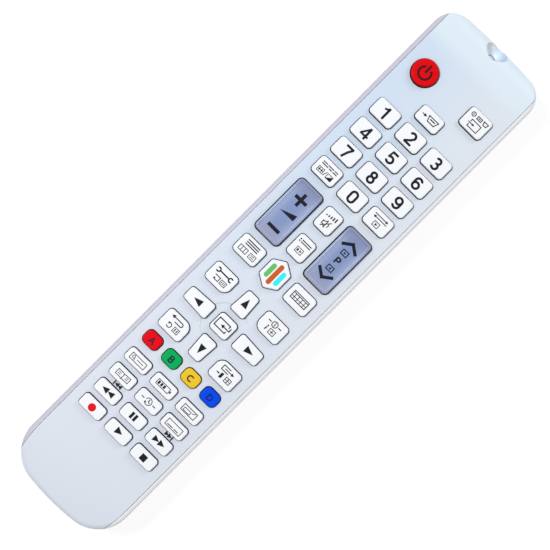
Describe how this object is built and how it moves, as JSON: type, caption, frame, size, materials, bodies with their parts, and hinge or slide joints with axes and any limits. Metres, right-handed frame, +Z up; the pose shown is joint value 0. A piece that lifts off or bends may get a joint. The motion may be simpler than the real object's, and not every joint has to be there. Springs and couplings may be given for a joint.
{
  "type": "tv remote control",
  "caption": "Slim hand-held remote control with round power key, number pad, tall rockers, arrow pad, colour and playback keys, notched emitter end, slide-off battery cover",
  "frame": {"origin": "middle of the back on the table it lies on", "axes": "+Y along the remote towards its emitter end, +X to the right seen from above, +Z up out of the key face"},
  "size_m": [0.0446, 0.2152, 0.0218],
  "materials": {
    "face_plastic": "satin, fine spark texture",
    "rear_plastic": "satin, fine spark texture",
    "key_white": "smooth satin",
    "key_power_red": "smooth satin",
    "key_red": "smooth satin",
    "key_green": "smooth satin",
    "key_yellow": "smooth satin",
    "key_blue": "smooth satin",
    "rocker_grey": "smooth satin",
    "mat_rubber": "moulded silicone",
    "board": "solder mask on laminate",
    "chip_black": "moulded epoxy",
    "small_parts": "mixed small parts",
    "emitter_clear": "clear epoxy lens",
    "cell_jacket": "plain printed jacket",
    "contact_metal": "nickel plated"
  },
  "bodies": {
    "root": {"battery_left": "cell_jacket", "battery_right": "cell_jacket", "board_parts": "small_parts", "circuit_board": "board", "contact_bridge": "contact_metal", "contact_minus": "contact_metal", "contact_plus": "contact_metal", "control_chip": "chip_black", "ir_emitter": "emitter_clear", "keypad_mat": "mat_rubber", "rear_casing": "rear_plastic", "top_casing": "face_plastic"},
    "key_0": {"key_0": "key_white"},
    "key_1": {"key_1": "key_white"},
    "key_2": {"key_2": "key_white"},
    "key_3": {"key_3": "key_white"},
    "key_4": {"key_4": "key_white"},
    "key_5": {"key_5": "key_white"},
    "key_6": {"key_6": "key_white"},
    "key_7": {"key_7": "key_white"},
    "key_8": {"key_8": "key_white"},
    "key_9": {"key_9": "key_white"},
    "key_blue": {"key_blue": "key_blue"},
    "key_down": {"key_down": "key_white"},
    "key_enter": {"key_enter": "key_white"},
    "key_exit": {"key_exit": "key_white"},
    "key_forward": {"key_forward": "key_white"},
    "key_green": {"key_green": "key_green"},
    "key_guide": {"key_guide": "key_white"},
    "key_history": {"key_history": "key_white"},
    "key_home": {"key_home": "key_white"},
    "key_info": {"key_info": "key_white"},
    "key_input": {"key_input": "key_white"},
    "key_left": {"key_left": "key_white"},
    "key_list": {"key_list": "key_white"},
    "key_manual": {"key_manual": "key_white"},
    "key_menu": {"key_menu": "key_white"},
    "key_mute": {"key_mute": "key_white"},
    "key_pause": {"key_pause": "key_white"},
    "key_play": {"key_play": "key_white"},
    "key_power": {"key_power": "key_power_red"},
    "key_previous": {"key_previous": "key_white"},
    "key_record": {"key_record": "key_white"},
    "key_red": {"key_red": "key_red"},
    "key_return": {"key_return": "key_white"},
    "key_rewind": {"key_rewind": "key_white"},
    "key_right": {"key_right": "key_white"},
    "key_screen_size": {"key_screen_size": "key_white"},
    "key_search": {"key_search": "key_white"},
    "key_source": {"key_source": "key_white"},
    "key_status": {"key_status": "key_white"},
    "key_stop": {"key_stop": "key_white"},
    "key_subtitle": {"key_subtitle": "key_white"},
    "key_text": {"key_text": "key_white"},
    "key_tools": {"key_tools": "key_white"},
    "key_up": {"key_up": "key_white"},
    "key_yellow": {"key_yellow": "key_yellow"},
    "rocker_channel": {"rocker_channel": "rocker_grey"},
    "rocker_volume": {"rocker_volume": "rocker_grey"},
    "battery_cover": {"battery_cover": "rear_plastic"}
  },
  "joints": [
    {"name": "0_press", "type": "slide", "parent": "root", "child": "key_0", "axis": [0, 0, -1], "range_m": [0, 0.0008], "stiffness_N_per_m": 1500},
    {"name": "1_press", "type": "slide", "parent": "root", "child": "key_1", "axis": [0, 0, -1], "range_m": [0, 0.0008], "stiffness_N_per_m": 1500},
    {"name": "2_press", "type": "slide", "parent": "root", "child": "key_2", "axis": [0, 0, -1], "range_m": [0, 0.0008], "stiffness_N_per_m": 1500},
    {"name": "3_press", "type": "slide", "parent": "root", "child": "key_3", "axis": [0, 0, -1], "range_m": [0, 0.0008], "stiffness_N_per_m": 1500},
    {"name": "4_press", "type": "slide", "parent": "root", "child": "key_4", "axis": [0, 0, -1], "range_m": [0, 0.0008], "stiffness_N_per_m": 1500},
    {"name": "5_press", "type": "slide", "parent": "root", "child": "key_5", "axis": [0, 0, -1], "range_m": [0, 0.0008], "stiffness_N_per_m": 1500},
    {"name": "6_press", "type": "slide", "parent": "root", "child": "key_6", "axis": [0, 0, -1], "range_m": [0, 0.0008], "stiffness_N_per_m": 1500},
    {"name": "7_press", "type": "slide", "parent": "root", "child": "key_7", "axis": [0, 0, -1], "range_m": [0, 0.0008], "stiffness_N_per_m": 1500},
    {"name": "8_press", "type": "slide", "parent": "root", "child": "key_8", "axis": [0, 0, -1], "range_m": [0, 0.0008], "stiffness_N_per_m": 1500},
    {"name": "9_press", "type": "slide", "parent": "root", "child": "key_9", "axis": [0, 0, -1], "range_m": [0, 0.0008], "stiffness_N_per_m": 1500},
    {"name": "blue_press", "type": "slide", "parent": "root", "child": "key_blue", "axis": [0, 0, -1], "range_m": [0, 0.0008], "stiffness_N_per_m": 1500},
    {"name": "down_press", "type": "slide", "parent": "root", "child": "key_down", "axis": [0, 0, -1], "range_m": [0, 0.0008], "stiffness_N_per_m": 1500},
    {"name": "enter_press", "type": "slide", "parent": "root", "child": "key_enter", "axis": [0, 0, -1], "range_m": [0, 0.0008], "stiffness_N_per_m": 1500},
    {"name": "exit_press", "type": "slide", "parent": "root", "child": "key_exit", "axis": [0, 0, -1], "range_m": [0, 0.0008], "stiffness_N_per_m": 1500},
    {"name": "forward_press", "type": "slide", "parent": "root", "child": "key_forward", "axis": [0, 0, -1], "range_m": [0, 0.0008], "stiffness_N_per_m": 1500},
    {"name": "green_press", "type": "slide", "parent": "root", "child": "key_green", "axis": [0, 0, -1], "range_m": [0, 0.0008], "stiffness_N_per_m": 1500},
    {"name": "guide_press", "type": "slide", "parent": "root", "child": "key_guide", "axis": [0, 0, -1], "range_m": [0, 0.0008], "stiffness_N_per_m": 1500},
    {"name": "history_press", "type": "slide", "parent": "root", "child": "key_history", "axis": [0, 0, -1], "range_m": [0, 0.0008], "stiffness_N_per_m": 1500},
    {"name": "home_press", "type": "slide", "parent": "root", "child": "key_home", "axis": [0, 0, -1], "range_m": [0, 0.0008], "stiffness_N_per_m": 1500},
    {"name": "info_press", "type": "slide", "parent": "root", "child": "key_info", "axis": [0, 0, -1], "range_m": [0, 0.0008], "stiffness_N_per_m": 1500},
    {"name": "input_press", "type": "slide", "parent": "root", "child": "key_input", "axis": [0, 0, -1], "range_m": [0, 0.0008], "stiffness_N_per_m": 1500},
    {"name": "left_press", "type": "slide", "parent": "root", "child": "key_left", "axis": [0, 0, -1], "range_m": [0, 0.0008], "stiffness_N_per_m": 1500},
    {"name": "list_press", "type": "slide", "parent": "root", "child": "key_list", "axis": [0, 0, -1], "range_m": [0, 0.0008], "stiffness_N_per_m": 1500},
    {"name": "manual_press", "type": "slide", "parent": "root", "child": "key_manual", "axis": [0, 0, -1], "range_m": [0, 0.0008], "stiffness_N_per_m": 1500},
    {"name": "menu_press", "type": "slide", "parent": "root", "child": "key_menu", "axis": [0, 0, -1], "range_m": [0, 0.0008], "stiffness_N_per_m": 1500},
    {"name": "mute_press", "type": "slide", "parent": "root", "child": "key_mute", "axis": [0, 0, -1], "range_m": [0, 0.0008], "stiffness_N_per_m": 1500},
    {"name": "pause_press", "type": "slide", "parent": "root", "child": "key_pause", "axis": [0, 0, -1], "range_m": [0, 0.0008], "stiffness_N_per_m": 1500},
    {"name": "play_press", "type": "slide", "parent": "root", "child": "key_play", "axis": [0, 0, -1], "range_m": [0, 0.0008], "stiffness_N_per_m": 1500},
    {"name": "power_press", "type": "slide", "parent": "root", "child": "key_power", "axis": [0, 0, -1], "range_m": [0, 0.0008], "stiffness_N_per_m": 1500},
    {"name": "previous_press", "type": "slide", "parent": "root", "child": "key_previous", "axis": [0, 0, -1], "range_m": [0, 0.0008], "stiffness_N_per_m": 1500},
    {"name": "record_press", "type": "slide", "parent": "root", "child": "key_record", "axis": [0, 0, -1], "range_m": [0, 0.0008], "stiffness_N_per_m": 1500},
    {"name": "red_press", "type": "slide", "parent": "root", "child": "key_red", "axis": [0, 0, -1], "range_m": [0, 0.0008], "stiffness_N_per_m": 1500},
    {"name": "return_press", "type": "slide", "parent": "root", "child": "key_return", "axis": [0, 0, -1], "range_m": [0, 0.0008], "stiffness_N_per_m": 1500},
    {"name": "rewind_press", "type": "slide", "parent": "root", "child": "key_rewind", "axis": [0, 0, -1], "range_m": [0, 0.0008], "stiffness_N_per_m": 1500},
    {"name": "right_press", "type": "slide", "parent": "root", "child": "key_right", "axis": [0, 0, -1], "range_m": [0, 0.0008], "stiffness_N_per_m": 1500},
    {"name": "screen_size_press", "type": "slide", "parent": "root", "child": "key_screen_size", "axis": [0, 0, -1], "range_m": [0, 0.0008], "stiffness_N_per_m": 1500},
    {"name": "search_press", "type": "slide", "parent": "root", "child": "key_search", "axis": [0, 0, -1], "range_m": [0, 0.0008], "stiffness_N_per_m": 1500},
    {"name": "source_press", "type": "slide", "parent": "root", "child": "key_source", "axis": [0, 0, -1], "range_m": [0, 0.0008], "stiffness_N_per_m": 1500},
    {"name": "status_press", "type": "slide", "parent": "root", "child": "key_status", "axis": [0, 0, -1], "range_m": [0, 0.0008], "stiffness_N_per_m": 1500},
    {"name": "stop_press", "type": "slide", "parent": "root", "child": "key_stop", "axis": [0, 0, -1], "range_m": [0, 0.0008], "stiffness_N_per_m": 1500},
    {"name": "subtitle_press", "type": "slide", "parent": "root", "child": "key_subtitle", "axis": [0, 0, -1], "range_m": [0, 0.0008], "stiffness_N_per_m": 1500},
    {"name": "text_press", "type": "slide", "parent": "root", "child": "key_text", "axis": [0, 0, -1], "range_m": [0, 0.0008], "stiffness_N_per_m": 1500},
    {"name": "tools_press", "type": "slide", "parent": "root", "child": "key_tools", "axis": [0, 0, -1], "range_m": [0, 0.0008], "stiffness_N_per_m": 1500},
    {"name": "up_press", "type": "slide", "parent": "root", "child": "key_up", "axis": [0, 0, -1], "range_m": [0, 0.0008], "stiffness_N_per_m": 1500},
    {"name": "yellow_press", "type": "slide", "parent": "root", "child": "key_yellow", "axis": [0, 0, -1], "range_m": [0, 0.0008], "stiffness_N_per_m": 1500},
    {"name": "channel_tilt", "type": "hinge", "parent": "root", "child": "rocker_channel", "pos_m": [0.01145, 0.0176, 0.0182], "axis": [1, 0, 0], "range_deg": [-4.5, 4.5], "stiffness_Nm_per_rad": 0.19},
    {"name": "volume_tilt", "type": "hinge", "parent": "root", "child": "rocker_volume", "pos_m": [-0.01145, 0.0176, 0.0182], "axis": [1, 0, 0], "range_deg": [-4.5, 4.5], "stiffness_Nm_per_rad": 0.19},
    {"name": "battery_cover_slide", "type": "slide", "parent": "root", "child": "battery_cover", "axis": [0, -1, 0], "range_m": [0, 0.065]}
  ]
}
